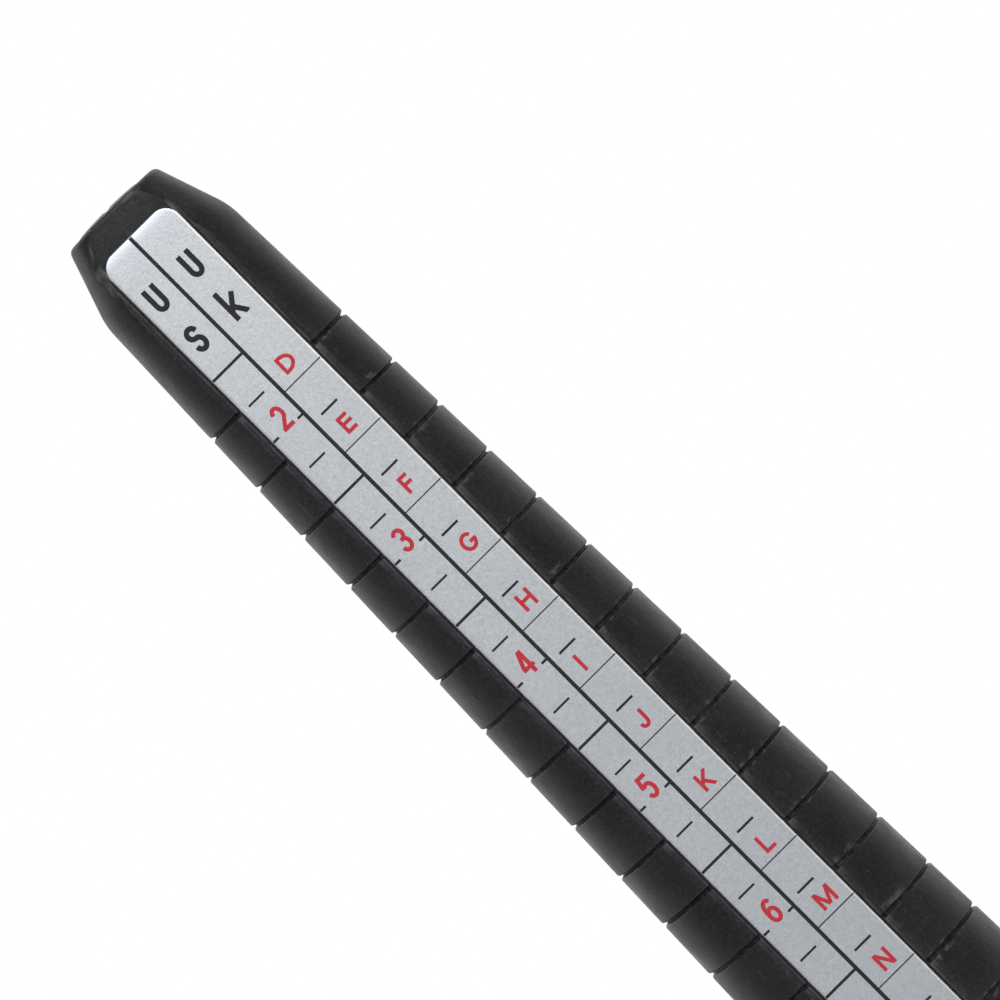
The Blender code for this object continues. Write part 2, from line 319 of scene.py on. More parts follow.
def loft(name, rings, finish, endless=False):
    """Joins rings that run anticlockwise as seen from the end of the list. endless joins the last
    ring to the first, and otherwise both ends are capped."""
    count = len(rings[0])
    points = [point for ring in rings for point in ring]
    pairs = len(rings) if endless else len(rings) - 1
    faces = []
    for row in range(pairs):
        low = row * count
        high = (row + 1) % len(rings) * count
        for i in range(count):
            j = (i + 1) % count
            faces.append((low + i, low + j, high + j, high + i))
    if not endless:
        faces.append(tuple(range(count - 1, -1, -1)))
        last = (len(rings) - 1) * count
        faces.append(tuple(range(last, last + count)))
    return mesh_object(name, points, faces, finish)


def circle(radius, z, segments=ROUND_SEGMENTS):
    angles = [math.tau * i / segments for i in range(segments)]
    return [(radius * math.cos(a), radius * math.sin(a), z) for a in angles]


def oval(cx, cy, rx, ry, start, end, steps):
    """Points round an ellipse, with its angles in degrees, anticlockwise from the right."""
    angles = [math.radians(start + (end - start) * i / steps) for i in range(steps + 1)]
    return [(cx + rx * math.cos(a), cy + ry * math.sin(a)) for a in angles]


def arc(centre, radius, start, end, steps):
    return oval(*centre, radius, radius, start, end, steps)


def rounded_off(from_end, radius):
    """How far a rounded edge has drawn back at this distance from its end."""
    reach = max(1 - from_end / radius, 0)
    return radius * (1 - math.sqrt(max(1 - reach**2, 0)))


def bend(start, corner, end, steps):
    """Points of a curve that leaves start and reaches end along the two sides of a corner."""
    points = []
    for i in range(steps + 1):
        t = i / steps
        weights = ((1 - t) ** 2, 2 * t * (1 - t), t * t)
        axes = zip(start, corner, end)
        points.append(tuple(sum(w * value for w, value in zip(weights, axis)) for axis in axes))
    return points


# -------------------- shaft


def size_z(size):
    """Height at which a ring of this EU size sits."""
    return FIRST_SIZE_Z - (size - FIRST_SIZE) / math.pi * TAPER


def cone_radius(z):
    return (FIRST_SIZE / math.pi + (FIRST_SIZE_Z - z) / TAPER) / 2


def channel_floor(z):
    """Distance of a channel's floor from the axis."""
    return math.sqrt(cone_radius(z) ** 2 - LAND_HALF_CHORD**2) - CHANNEL_DEPTH


def land_level(radius):
    """Distance of the flat land beside a channel from the axis."""
    return math.sqrt(max(radius**2 - LAND_OUTER**2, 0))


def lip_height(z, phase):
    """Height of the ragged flash along the land's inner edge."""
    waves = [high * math.sin(rate * z + lag * phase) for high, rate, lag in LIP_WAVES]
    return LIP_HEIGHT * max(0.5 + sum(waves), 0.1)


def channel_quarter(radius, floor, half, level, lip=0):
    """A quarter of a cross-section, from the middle of a channel to the shaft's side, as
    (across, outwards) points: floor, fillet, wall, lip, flat land and then the round side."""
    half = min(half, math.sqrt(radius**2 - (floor + LEAST_WALL) ** 2))
    level = min(level, math.sqrt(radius**2 - half**2))
    outer = math.sqrt(radius**2 - level**2)
    land = outer - half
    fillet = min(CHANNEL_FILLET, 0.3 * (level - floor))
    edge = min(LAND_EDGE, 0.3 * (level - floor))
    lip = min(lip, 0.3 * land)
    points = [(half * share, floor) for share in (0, 0.35, 0.7)]
    points += arc((half - fillet, floor + fillet), fillet, -90, 0, 3)
    brow = (half + min(0.5 * LIP_WIDTH, 0.2 * land), level + lip)
    points += bend((half, level + lip - edge), (half, level + lip), brow, 3)
    points.append((half + min(LIP_WIDTH, 0.4 * land), level - 0.3 * lip))
    blend = min(LAND_BLEND, 0.4 * land) + 0.01
    start = math.asin(outer / radius) + blend / radius
    side = (radius * math.sin(start), radius * math.cos(start))
    points += bend((max(outer - blend, points[-1][0] + 0.001), level), (outer, level), side, 3)
    for i in range(1, ARC_STEPS + 1):
        angle = start + (math.pi / 2 - start) * i / ARC_STEPS
        points.append((radius * math.sin(angle), radius * math.cos(angle)))
    return points


def plain_quarter(radius):
    """A quarter of a full circle, its points placed like those of the channels' lower end."""
    end_radius = cone_radius(CHANNEL_END_Z)
    half = CHANNEL_HALF_WIDTH - CHANNEL_CORNER
    level = land_level(end_radius)
    pattern = channel_quarter(end_radius, channel_floor(CHANNEL_END_Z), half, level)
    side_start = len(pattern) - ARC_STEPS - 1
    angles = [math.asin(min(across / end_radius, 1)) for across, _ in pattern]
    last = angles[side_start]
    # The points up the channel's wall are close together here, and are spread out
    crowded_from = 0.8
    wall = [i for i in range(side_start) if angles[i] > crowded_from * last]
    for i in wall:
        share = (i - wall[0]) / (side_start - wall[0])
        angles[i] = last * (crowded_from + (1 - crowded_from) * share)
    return [(radius * math.sin(a), radius * math.cos(a)) for a in angles]


def whole_ring(right, left=None, shift=PLATE_SHIFT):
    """Mirrors the sections of the two mould halves, each (quarter, z), into a whole ring that
    runs anticlockwise as seen from the tip. Between them its height changes smoothly. The
    channels are moved sideways by shift, and the round sides aren't."""
    left = left or right
    middle = (right[1] + left[1]) / 2

    def placed(section, side, face):
        quarter, z = section
        radius = quarter[-1][0]
        points = []
        for across, out in quarter:
            share = min(across / CHANNEL_HALF_WIDTH, 1)
            moved = min((radius - across) / max(radius - LAND_OUTER, 1), 1) ** 2
            x = side * across - face * shift * moved
            points.append((x, face * out, middle + (z - middle) * share))
        return points

    ring = placed(right, 1, FRONT)
    ring += placed(right, 1, BACK)[-2::-1]
    ring += placed(left, -1, BACK)[1:]
    ring += placed(left, -1, FRONT)[-2:0:-1]
    return ring


def plain_ring(radius, z):
    return whole_ring((plain_quarter(radius), z), shift=0)


def half_groove(mouth):
    """(distance from the groove's middle, depth) from its floor up to the band beside it."""
    half = GROOVE_FLOOR / 2
    points = [(half - GROOVE_FOOT, GROOVE_DEPTH), (half, GROOVE_DEPTH - GROOVE_FOOT)]
    for degrees in BAND_EDGE_ANGLES:
        angle = math.radians(degrees)
        away = mouth / 2 + BAND_EDGE * (1 - math.cos(angle))
        points.append((away, BAND_EDGE * (1 - math.sin(angle))))
    return points


def groove_profile(draw):
    """(distance up from its middle, depth) through one groove. They aren't all quite alike."""
    mouth = GROOVE_MOUTH * (1 + draw.uniform(-GROOVE_SPREAD, GROOVE_SPREAD))
    depth = 1 + draw.uniform(-GROOVE_SPREAD, GROOVE_SPREAD)
    side = half_groove(mouth)
    lower = [(-away, drop * depth) for away, drop in reversed(side)]
    upper = [(away, drop * depth) for away, drop in side]
    return lower + [(0, GROOVE_DEPTH * depth)] + upper


def band_section(z, drop, phase):
    """The section of one mould half at a height, sunk by drop where it is in a groove."""
    radius = cone_radius(z) - drop
    lip = 0 if drop else lip_height(z, phase)
    return channel_quarter(radius, channel_floor(z), CHANNEL_HALF_WIDTH, land_level(radius), lip), z


def band_ring(heights, drop=0):
    """A ring through the right and the left half of the mould, each at its own height."""
    return whole_ring(*(band_section(z, drop, phase) for z, phase in zip(heights, LIP_PHASES)))


def groove_rings():
    """Rings through every groove and the bands between them, from the largest size up."""
    draw = random.Random(SEED)
    rings = []
    below = None
    for size in range(LAST_SIZE, FIRST_SIZE - 1, -1):
        profile = groove_profile(draw)
        middle = size_z(size) + GROOVE_RISE
        right = middle - MOULD_SLIP + draw.uniform(-GROOVE_WANDER, GROOVE_WANDER)
        left = middle + MOULD_SLIP + draw.uniform(-GROOVE_WANDER, GROOVE_WANDER)
        bottom = (right + profile[0][0], left + profile[0][0])
        if below:
            for i in range(1, BAND_STATIONS + 1):
                share = i / (BAND_STATIONS + 1)
                rings.append(band_ring([a + (b - a) * share for a, b in zip(below, bottom)]))
        rings += [band_ring((right + away, left + away), drop) for away, drop in profile]
        below = (right + profile[-1][0], left + profile[-1][0])
    return rings


def tip_outline():
    """(radius, z) points from the first groove's band to the flat of the tip."""
    knee_z = TIP_Z - TIP_CHAMFER
    slope = (cone_radius(knee_z) - TIP_FACE_RADIUS) / TIP_CHAMFER
    start = (cone_radius(knee_z - TIP_KNEE), knee_z - TIP_KNEE)
    end = (cone_radius(knee_z) - slope * TIP_KNEE, knee_z + TIP_KNEE)
    points = bend(start, (cone_radius(knee_z), knee_z), end, 5)
    centre = (TIP_FACE_RADIUS - TIP_EDGE_RADIUS, TIP_Z - TIP_EDGE_RADIUS)
    rounding = arc(centre, TIP_EDGE_RADIUS, 15, 90, 7)
    for share in (0.25, 0.5, 0.75):
        points.append(tuple(a + (b - a) * share for a, b in zip(end, rounding[0])))
    return points + rounding


def tip_face(edge_ring):
    """Rings that close the tip: a faint dome, with the trimmed moulding gate in two halves."""
    rings = []
    for share in TIP_FACE_RINGS:
        ring = []
        for x, y, z in edge_ring:
            from_split = abs(x * share - GATE_MIDDLE)
            reach = math.hypot(from_split, y * share) / GATE_RADIUS
            pad = math.sqrt(max(1 - reach**2, 0))
            split = min(from_split / GATE_SPLIT, 1)
            pad *= GATE_SPLIT_HEIGHT + (1 - GATE_SPLIT_HEIGHT) * split
            ring.append((x * share, y * share, z + GATE_HEIGHT * pad + TIP_DOME * (1 - share)))
        rings.append(ring)
    return rings


def bore_rings():
    """Rings down the bore, from its top to just inside its mouth."""
    rings = []
    for share in (1, 0.75, 0.5, 0.25):
        z = SPIGOT_END_Z + share * (BORE_TOP_Z - SPIGOT_END_Z)
        rings.append(plain_ring(BORE_OPEN_RADIUS + share * (BORE_TOP_RADIUS - BORE_OPEN_RADIUS), z))
    return rings


def spigot_rings():
    """Rings up the spigot and over the shoulder, from the bore's mouth to below the channels."""
    outline = [
        (BORE_OPEN_RADIUS, SPIGOT_END_Z),
        (SPIGOT_RADIUS - SPIGOT_EDGE, SPIGOT_END_Z),
        (SPIGOT_RADIUS, SPIGOT_END_Z + SPIGOT_EDGE),
        (SPIGOT_RADIUS, SHOULDER_Z),
    ]
    rim = cone_radius(SHOULDER_Z) - SHOULDER_EDGE
    outline.append((rim, SHOULDER_Z))
    outline += arc((rim, SHOULDER_Z + SHOULDER_EDGE), SHOULDER_EDGE, -60, 0, 3)
    for below in (3, 1):
        z = CHANNEL_END_Z - below * CHANNEL_RUN_OUT
        outline.append((cone_radius(z), z))
    return [plain_ring(radius, z) for radius, z in outline]


def channel_end_rings():
    """Rings through the rounded lower corners of the channels."""
    inner = CHANNEL_HALF_WIDTH - CHANNEL_CORNER
    rings = []
    for widen, rise in arc((0, CHANNEL_CORNER), CHANNEL_CORNER, -90, 0, 6):
        z = CHANNEL_END_Z + rise
        radius = cone_radius(z)
        quarter = channel_quarter(radius, channel_floor(z), inner + widen, land_level(radius))
        rings.append(whole_ring((quarter, z)))
    return rings


def tip_rings():
    rings = []
    for radius, z in tip_outline():
        floor = channel_floor(z) - rounded_off(TIP_Z - z, CHANNEL_LIP)
        level = land_level(cone_radius(z))
        lip = lip_height(z, TIP_LIP_PHASE)
        quarter = channel_quarter(radius, floor, CHANNEL_HALF_WIDTH, level, lip)
        rings.append(whole_ring((quarter, z)))
    return rings + tip_face(rings[-1])


def make_shaft(finish):
    """The moulding: down its bore, and then up its outside to the tip."""
    rings = bore_rings() + spigot_rings() + channel_end_rings() + groove_rings() + tip_rings()
    return loft("shaft", rings, finish)


# -------------------- plates


def plate_face(across, z):
    """Distance from the axis of a plate's printed face, whose edges are rolled down."""
    into_roll = max(abs(across - PLATE_SHIFT) - (PLATE_HALF_WIDTH - PLATE_ROLL), 0) / PLATE_ROLL
    into_end = max(z - (PLATE_TOP_Z - PLATE_END_ROLL), 0) / PLATE_END_ROLL
    drop = PLATE_ROLL_DROP * into_roll**2 + PLATE_END_DROP * into_end**2
    return channel_floor(z) + PLATE_HIGH - drop


def on_side(side, across, out, z):
    """A point given as someone who faces that side of the shaft sees it."""
    return (-side * across, side * out, z)


def plate_stations():
    """(z, half width, drop of the face) down a plate, with rounded corners and edges."""
    corner = arc((0, 0), PLATE_CORNER, 0, 90, 10)
    top = []
    for away, rise in corner:
        z = PLATE_TOP_Z - PLATE_CORNER + rise
        drop = PLATE_EDGE * min(max((z - PLATE_TOP_Z + PLATE_EDGE) / PLATE_EDGE, 0), 1)
        top.append((z, PLATE_HALF_WIDTH - PLATE_CORNER + away, drop))
    low = [(PLATE_END_Z + PLATE_TOP_Z - z, half, drop) for z, half, drop in reversed(top)]
    run = top[0][0] - low[-1][0]
    steps = round(run / PLATE_STEP)
    middle = [(low[-1][0] + run * i / steps, PLATE_HALF_WIDTH, 0) for i in range(1, steps)]
    return low + middle + top


def plate_section(side, z, half, drop):
    """A cross-section of a plate, anticlockwise from its lower right corner."""
    inner = channel_floor(z) + PLATE_LOW
    left = PLATE_SHIFT - half
    right = PLATE_SHIFT + half
    edge = PLATE_EDGE
    face = [right - edge, right - PLATE_ROLL / 2, right - PLATE_ROLL, PLATE_SHIFT]
    face += [left + PLATE_ROLL, left + PLATE_ROLL / 2, left + edge]
    points = [(right, inner), (right, plate_face(right, z) - edge - drop)]
    points.append((right - 0.3 * edge, plate_face(right, z) - 0.3 * edge - drop))
    points += [(across, plate_face(across, z) - drop) for across in face]
    points.append((left + 0.3 * edge, plate_face(left, z) - 0.3 * edge - drop))
    points += [(left, plate_face(left, z) - edge - drop), (left, inner)]
    return [on_side(side, across, out, z) for across, out in points]


def make_plate(side, name, finish):
    rings = [plate_section(side, z, half, drop) for z, half, drop in plate_stations()]
    return loft(name, [ring[::-1] for ring in rings], finish)


# -------------------- print


def stroke(points, width, closed=False):
    """Thickens a line into quads. They share a mitre at a gentle bend, and run on past a sharp
    corner by half the width."""
    half = width / 2
    points = [Vector(point) for point in points]
    if closed:
        points.append(points[0])
    along = [(b - a).normalized() for a, b in zip(points, points[1:])]
    across = [Vector((-d.y, d.x)) for d in along]
    count = len(along)

    def offsets(i, j, direction):
        """Left and right offsets at the end of segment i where it meets segment j."""
        if not closed and not 0 <= j < count:
            return across[i] * half, -across[i] * half
        j %= count
        if along[i].dot(along[j]) < GENTLE_BEND:
            run_on = direction * along[i] * half
            return across[i] * half + run_on, run_on - across[i] * half
        mitre = (across[i] + across[j]).normalized()
        mitre *= half / mitre.dot(across[i])
        return mitre, -mitre

    quads = []
    for i, (a, b) in enumerate(zip(points, points[1:])):
        left_a, right_a = offsets(i, i - 1, -1)
        left_b, right_b = offsets(i, i + 1, 1)
        quads.append([a + left_a, a + right_a, b + right_b, b + left_b])
    return quads


def line(*points):
    return points, False


def loop(*points):
    return points, True


def glyph_lines(mark, w, h, t):
    """Centre lines of one character in a box w by h, for strokes t wide. Each is (points,
    closed)."""
    left = low = t / 2
    right = w - t / 2
    high = h - t / 2
    mid = h / 2
    cx = w / 2
    rx = right - cx
    ry = high - mid
    waist = 0.53 * h
    upper = (high - waist) / 2
    lower = (waist - low) / 2
    hook = min(0.3 * h, 1.25 * rx)
    stem = line((left, 0), (left, h))
    far_stem = line((right, 0), (right, h))
    top = line((0, high), (w, high))
    foot = line((0, low), (w, low))

    def hanging(height, start, end, steps, wide=1.0):
        return oval(cx, high - height, rx * wide, height, start, end, steps)

    def standing(height, start, end, steps):
        return oval(cx, low + height, rx, height, start, end, steps)

    ring = loop(*standing(ry, 0, 360, 24)[:-1])
    bowl = oval(0.5 * w, high - 0.24 * h, right - 0.5 * w, 0.24 * h, 90, -90, 10)
    zigzag = [(left, h), (0.3 * w, 0), (cx, h), (0.7 * w, 0), (right, h)]
    f_bar = waist - 0.03 * h
    shapes = {
        "D": [loop((left, low), (left, high), *oval(right - 0.62 * w, mid, 0.62 * w, ry, 90, -90, 14))],
        "E": [
            line((right, high), (left, high), (left, low), (right, low)),
            line((left, waist), (0.9 * w, waist)),
        ],
        "F": [line((right, high), (left, high), (left, 0)), line((left, f_bar), (0.86 * w, f_bar))],
        "G": [
            line(*standing(ry, 38, 322, 20), (right, 0.42 * h)),
            line((w, 0.45 * h), (0.56 * w, 0.45 * h)),
        ],
        "H": [stem, far_stem, line((left, waist), (right, waist))],
        "I": [stem],
        "J": [line((right, h), *standing(hook, 0, -180, 10))],
        "K": [stem, line((left, 0.34 * h), (right, h)), line((0.36 * w, 0.56 * h), (right, 0))],
        "L": [line((left, h), (left, low), (w, low))],
        "M": [stem, far_stem, line((left, h), (cx, 0.08 * h)), line((right, h), (cx, 0.08 * h))],
        "N": [stem, far_stem, line((left, h), (right, 0))],
        "O": [ring],
        "P": [stem, line((left, high), *bowl, (left, high - 0.48 * h))],
        "S": [line(*hanging(upper, 4, 270, 14)[:-1], *standing(lower, 90, -176, 14))],
        "T": [top, line((cx, 0), (cx, h))],
        "U": [line((left, h), *standing(hook, 180, 360, 12), (right, h))],
        "V": [line((left, h), (cx, 0)), line((right, h), (cx, 0))],
        "W": [line(a, b) for a, b in zip(zigzag, zigzag[1:])],
        "X": [line((left, h), (right, 0)), line((left, 0), (right, h))],
        "Y": [
            line((left, h), (cx, 0.42 * h)),
            line((right, h), (cx, 0.42 * h)),
            line((cx, 0), (cx, 0.45 * h)),
        ],
        "Z": [top, foot, line((right, high), (left, low))],
        "k": [stem, line((left, 0.24 * h), (right, 0.73 * h)), line((0.34 * w, 0.42 * h), (right, 0))],
        "0": [ring],
        "1": [line((0.62 * w, 0), (0.62 * w, h)), line((0.62 * w, h), (0.12 * w, 0.74 * h))],
        "2": [line(*hanging(0.27 * h, 165, -35, 12), (0.5 * w, 0.33 * h), (left, low)), foot],
        "3": [
            line(*hanging(upper, 165, -90, 12, 0.97), (0.38 * w, waist)),
            line((0.38 * w, waist), *standing(lower, 90, -170, 12)),
        ],
        "4": [
            line((0.7 * w, 0), (0.7 * w, h)),
            line((0, 0.29 * h), (w, 0.29 * h)),
            line((0.08 * w, 0.29 * h), (0.66 * w, h)),
        ],
        "5": [
            line((0.93 * w, high), (0.24 * w, high), (0.12 * w, 0.5 * h)),
            line(*standing(0.27 * h, 140, -155, 14)),
        ],
        "6": [
            loop(*standing(0.26 * h, 0, 360, 18)[:-1]),
            line(*oval(cx + 0.06 * w, mid, rx + 0.06 * w, ry, 48, 190, 12)),
        ],
        "7": [top, line((right, high), (0.52 * w, 0.5 * h), (0.36 * w, 0))],
        "8": [
            loop(*hanging(upper, 0, 360, 18, 0.9)[:-1]),
            loop(*standing(lower, 0, 360, 18)[:-1]),
        ],
    }
    shapes["Q"] = shapes["O"] + [line((0.55 * w, 0.25 * h), (w, 0))]
    shapes["R"] = shapes["P"] + [line((0.5 * w, 0.5 * h), (right, 0))]
    shapes["9"] = [([(w - x, h - y) for x, y in points], closed) for points, closed in shapes["6"]]
    return shapes[mark]


def box(left, right, low, high):
    return [Vector(point) for point in ((left, low), (right, low), (right, high), (left, high))]


def anticlockwise(polygon):
    area = sum(a.cross(b) for a, b in zip(polygon, polygon[1:] + polygon[:1]))
    return polygon if area > 0 else polygon[::-1]


def inside(point, polygon):
    """Whether a point lies in a convex polygon that runs anticlockwise."""
    sides = zip(polygon, polygon[1:] + polygon[:1])
    return all((b - a).cross(point - a) > 0 for a, b in sides)


def merged(polygons, window=None):
    """Merges overlapping convex polygons into triangles, and keeps what lies in the window."""
    inked = [anticlockwise(polygon) for polygon in polygons]
    points = []
    edges = []
    for polygon in inked + ([window] if window else []):
        start = len(points)
        count = len(polygon)
        points += polygon
        edges += [(start + i, start + (i + 1) % count) for i in range(count)]
    found = delaunay_2d_cdt(points, edges, [], 0, MERGE_DISTANCE)
    corners, triangles = found[0], found[2]
    kept = []
    for triangle in triangles:
        centre = sum((corners[i] for i in triangle), Vector((0, 0))) / 3
        if window and not inside(centre, window):
            continue
        if any(inside(centre, polygon) for polygon in inked):
            kept.append(triangle)
    return corners, kept


class Print:
    """The ink of one colour on one plate, as thin closed solids that lie on its face."""

    def __init__(self, side):
        self.side = side
        self.points = []
        self.faces = []

    def add(self, polygons, window=None, place=(0, 0)):
        """Merges polygons given near zero, and lays them at their place on the plate."""
        corners, triangles = merged(polygons, window)
        used = sorted({i for triangle in triangles for i in triangle})
        start = len(self.points)
        index = {corner: start + i for i, corner in enumerate(used)}
        levels = (PRINT_LIFT, PRINT_LIFT + PRINT_THICKNESS)
        for level in levels:
            for corner in used:
                across = corners[corner].x + place[0]
                z = corners[corner].y + place[1]
                out = plate_face(across, z) + level
                self.points.append(on_side(self.side, across, out, z))
        rise = len(used)
        edges = {}
        for triangle in triangles:
            a, b, c = (index[corner] for corner in triangle)
            self.faces.append((a + rise, b + rise, c + rise))
            self.faces.append((c, b, a))
            for edge in ((a, b), (b, c), (c, a)):
                edges[edge] = True
        for a, b in edges:
            if (b, a) not in edges:
                self.faces.append((a, b, b + rise, a + rise))

    def bar(self, left, right, z, width):
        self.add([box(0, right - left, -width / 2, width / 2)], None, (left, z))

    def whole_size(self, z):
        """The short marks at both sides of the left column."""
        left, right = LEFT_COLUMN
        self.bar(left, left + US_OUTER_TICK, z, US_TICK_WIDTH)
        self.bar(right - US_INNER_TICK, right, z, US_TICK_WIDTH)

    def tick(self, shape, z):
        middle, length, width = shape
        self.bar(middle - length / 2, middle + length / 2, z, width)

    def character(self, mark, left, base, size):
        """size is (width, height, stroke)."""
        width, height, thickness = size
        quads = []
        for points, closed in glyph_lines(mark, width, height, thickness):
            quads += stroke(points, thickness, closed)
        self.add(quads, box(0, width, 0, height), (left, base))

    def figure(self, text, middle, base, size):
        """A number, centred."""
        width = size[0]
        whole = width * len(text) + FIGURE_GAP * (len(text) - 1)
        for i, mark in enumerate(text):
            self.character(mark, middle - whole / 2 + i * (width + FIGURE_GAP), base, size)

    def make(self, name, finish):
        return mesh_object(name, self.points, self.faces, finish)


def down_z(down):
    return PRINT_ZERO_Z - down


def print_divider(ink):
    """The line between the two scales, in short runs that follow the plate's slight curve and
    its rolled end."""
    low = PLATE_END_Z + PRINT_MARGIN
    roll = PLATE_TOP_Z - PLATE_END_ROLL
    high = PLATE_TOP_Z - PRINT_MARGIN
    steps = math.ceil((roll - low) / PLATE_STEP)
    runs = [low + (roll - low) * i / steps for i in range(steps)]
    runs += [roll + (high - roll) * i / DIVIDER_ROLL_STEPS for i in range(DIVIDER_ROLL_STEPS + 1)]
    ink.add([box(LEFT_COLUMN[1], RIGHT_COLUMN[0], a, b) for a, b in zip(runs, runs[1:])])


def print_title(ink, *names):
    """The two systems' names, one character above the other at the head of each column."""
    for name, middle in zip(names, TITLE_MIDDLES):
        left = middle - TITLE_CAPITAL[0] / 2
        ink.character(name[0], left, down_z(TITLE_FIRST_DOWN), TITLE_CAPITAL)
        if name[1].islower():
            ink.character(name[1], left, down_z(TITLE_TALL_DOWN), TITLE_TALL)
        else:
            ink.character(name[1], left, down_z(TITLE_SECOND_DOWN), TITLE_CAPITAL)


def print_us_scale(black, red):
    for i in range(round((US_LAST_SIZE - US_FIRST_SIZE + 0.5) * 4) + 1):
        size = US_FIRST_SIZE - 0.5 + i / 4
        drift = US_DRIFT * (min(size, US_DRIFT_END) - US_DRIFT_MIDDLE) ** 2
        z = down_z(US_FIRST_DOWN + (size - US_FIRST_SIZE) * US_STEP + drift)
        if i % 4 == 2:
            black.whole_size(z)
            red.figure(str(int(size)), US_FIGURE_MIDDLE, z - US_FIGURE_DROP, US_FIGURE)
        elif i % 4 == 0:
            black.bar(*LEFT_COLUMN, z, US_HALF_WIDTH)
        else:
            black.tick(US_QUARTER, z)


def print_uk_scale(black, red):
    down = UK_FIRST_DOWN
    names = list(UK_LETTERS) + [f"Z{i}" for i in range(1, UK_EXTRA_SIZES + 1)]
    for name in names:
        z = down_z(down)
        black.bar(*RIGHT_COLUMN, z, UK_LINE_WIDTH)
        sideways, upwards = UK_LETTER_NUDGE.get(name, (0, 0))
        across = DIVIDER + UK_LETTER_LEFT + sideways
        for mark in name:
            width = UK_OTHER_WIDTHS.get(mark, UK_LETTER_WIDTH)
            if mark.isdigit():
                width = UK_FIGURE_WIDTH
            rise = UK_HIGH_RISE if mark in UK_HIGH_LETTERS else UK_LOW_RISE
            red.character(mark, across, z + rise + upwards, (width, UK_CAP_HEIGHT, UK_STROKE))
            across += width + UK_LETTER_GAP
        if name != names[-1]:
            black.tick(UK_HALF, z - UK_HALF_DROP)
        down += UK_SHORT_STEP if name in UK_SHORT_AFTER else UK_STEP


def print_eu_scale(black, red):
    for size in range(FIRST_SIZE, LAST_SIZE + 1):
        z = size_z(size)
        black.whole_size(z)
        red.figure(str(size), EU_FIGURE_MIDDLE, z - US_FIGURE_DROP, EU_FIGURE)


def print_jp_scale(black, red):
    """Japanese sizes go up by a third of a millimetre in diameter."""
    for size in range(1, JP_LAST_SIZE + 1):
        diameter = JP_SIZE_ZERO + size * JP_SIZE_STEP
        z = down_z((diameter - FIRST_SIZE / math.pi) * TAPER)
        black.bar(*RIGHT_COLUMN, z, UK_LINE_WIDTH)
        red.figure(str(size), JP_FIGURE_MIDDLE, z + UK_LOW_RISE, JP_FIGURE)


# -------------------- handle


def make_collar(finish):
    rim = COLLAR_RADIUS - COLLAR_EDGE
    outline = [(SOCKET_RADIUS, COLLAR_HIGH_Z - SOCKET_EDGE)]
    outline.append((SOCKET_RADIUS, COLLAR_LOW_Z + SOCKET_EDGE))
    outline.append((SOCKET_RADIUS + SOCKET_EDGE, COLLAR_LOW_Z))
    outline += arc((rim, COLLAR_LOW_Z + COLLAR_EDGE), COLLAR_EDGE, -90, 0, 10)
    outline += arc((rim, COLLAR_HIGH_Z - COLLAR_EDGE), COLLAR_EDGE, 0, 90, 10)
    outline.append((SOCKET_RADIUS + SOCKET_EDGE, COLLAR_HIGH_Z))
    return loft("collar", [circle(radius, z) for radius, z in outline], finish, endless=True)


def grip_radius(z, angle):
    """Outer radius of the grip: a palm swell, rounded ends and flutes that fade out."""
    swell = math.cos(math.tau * (z - GRIP_SWELL_Z) / GRIP_SWELL_PERIOD)
    radius = GRIP_MEAN_RADIUS + GRIP_SWELL * swell
    radius -= rounded_off(min(z - GRIP_LOW_Z, GRIP_HIGH_Z - z), GRIP_END_EDGE)
    share = min(max(min(z - FLUTE_LOW_Z, FLUTE_HIGH_Z - z) / FLUTE_FADE, 0), 1)
    fade = share * share * (3 - 2 * share)
    hollow = 1 - abs(math.cos(FLUTES / 2 * angle)) ** FLUTE_POWER
    return radius - FLUTE_DEPTH * fade * hollow


def make_grip(finish):
    edge = [GRIP_END_EDGE * (1 - math.cos(math.radians(a))) for a in range(0, 91, 15)]
    low = [GRIP_LOW_Z + rise for rise in edge]
    high = [GRIP_HIGH_Z - rise for rise in reversed(edge)]
    step = (high[0] - low[-1]) / GRIP_STEPS
    middle = [low[-1] + step * i for i in range(1, GRIP_STEPS)]
    count = FLUTES * SEGMENTS_PER_FLUTE
    rings = []
    for z in low + middle + high:
        ring = []
        for i in range(count):
            angle = math.tau * i / count
            radius = grip_radius(z, angle)
            ring.append((radius * math.cos(angle), radius * math.sin(angle), z))
        rings.append(ring)
    inside = [
        (SOCKET_RADIUS + SOCKET_EDGE, GRIP_HIGH_Z),
        (SOCKET_RADIUS, GRIP_HIGH_Z - SOCKET_EDGE),
        (SOCKET_RADIUS, WEB_HIGH_Z),
        (SCREW_HOLE_RADIUS, WEB_HIGH_Z),
        (SCREW_HOLE_RADIUS, WEB_LOW_Z),
        (COUNTERBORE_RADIUS, WEB_LOW_Z),
        (COUNTERBORE_RADIUS, GRIP_LOW_Z + SOCKET_EDGE),
        (COUNTERBORE_RADIUS + SOCKET_EDGE, GRIP_LOW_Z),
    ]
    rings += [circle(radius, z, count) for radius, z in inside]
    return loft("grip", rings, finish, endless=True)


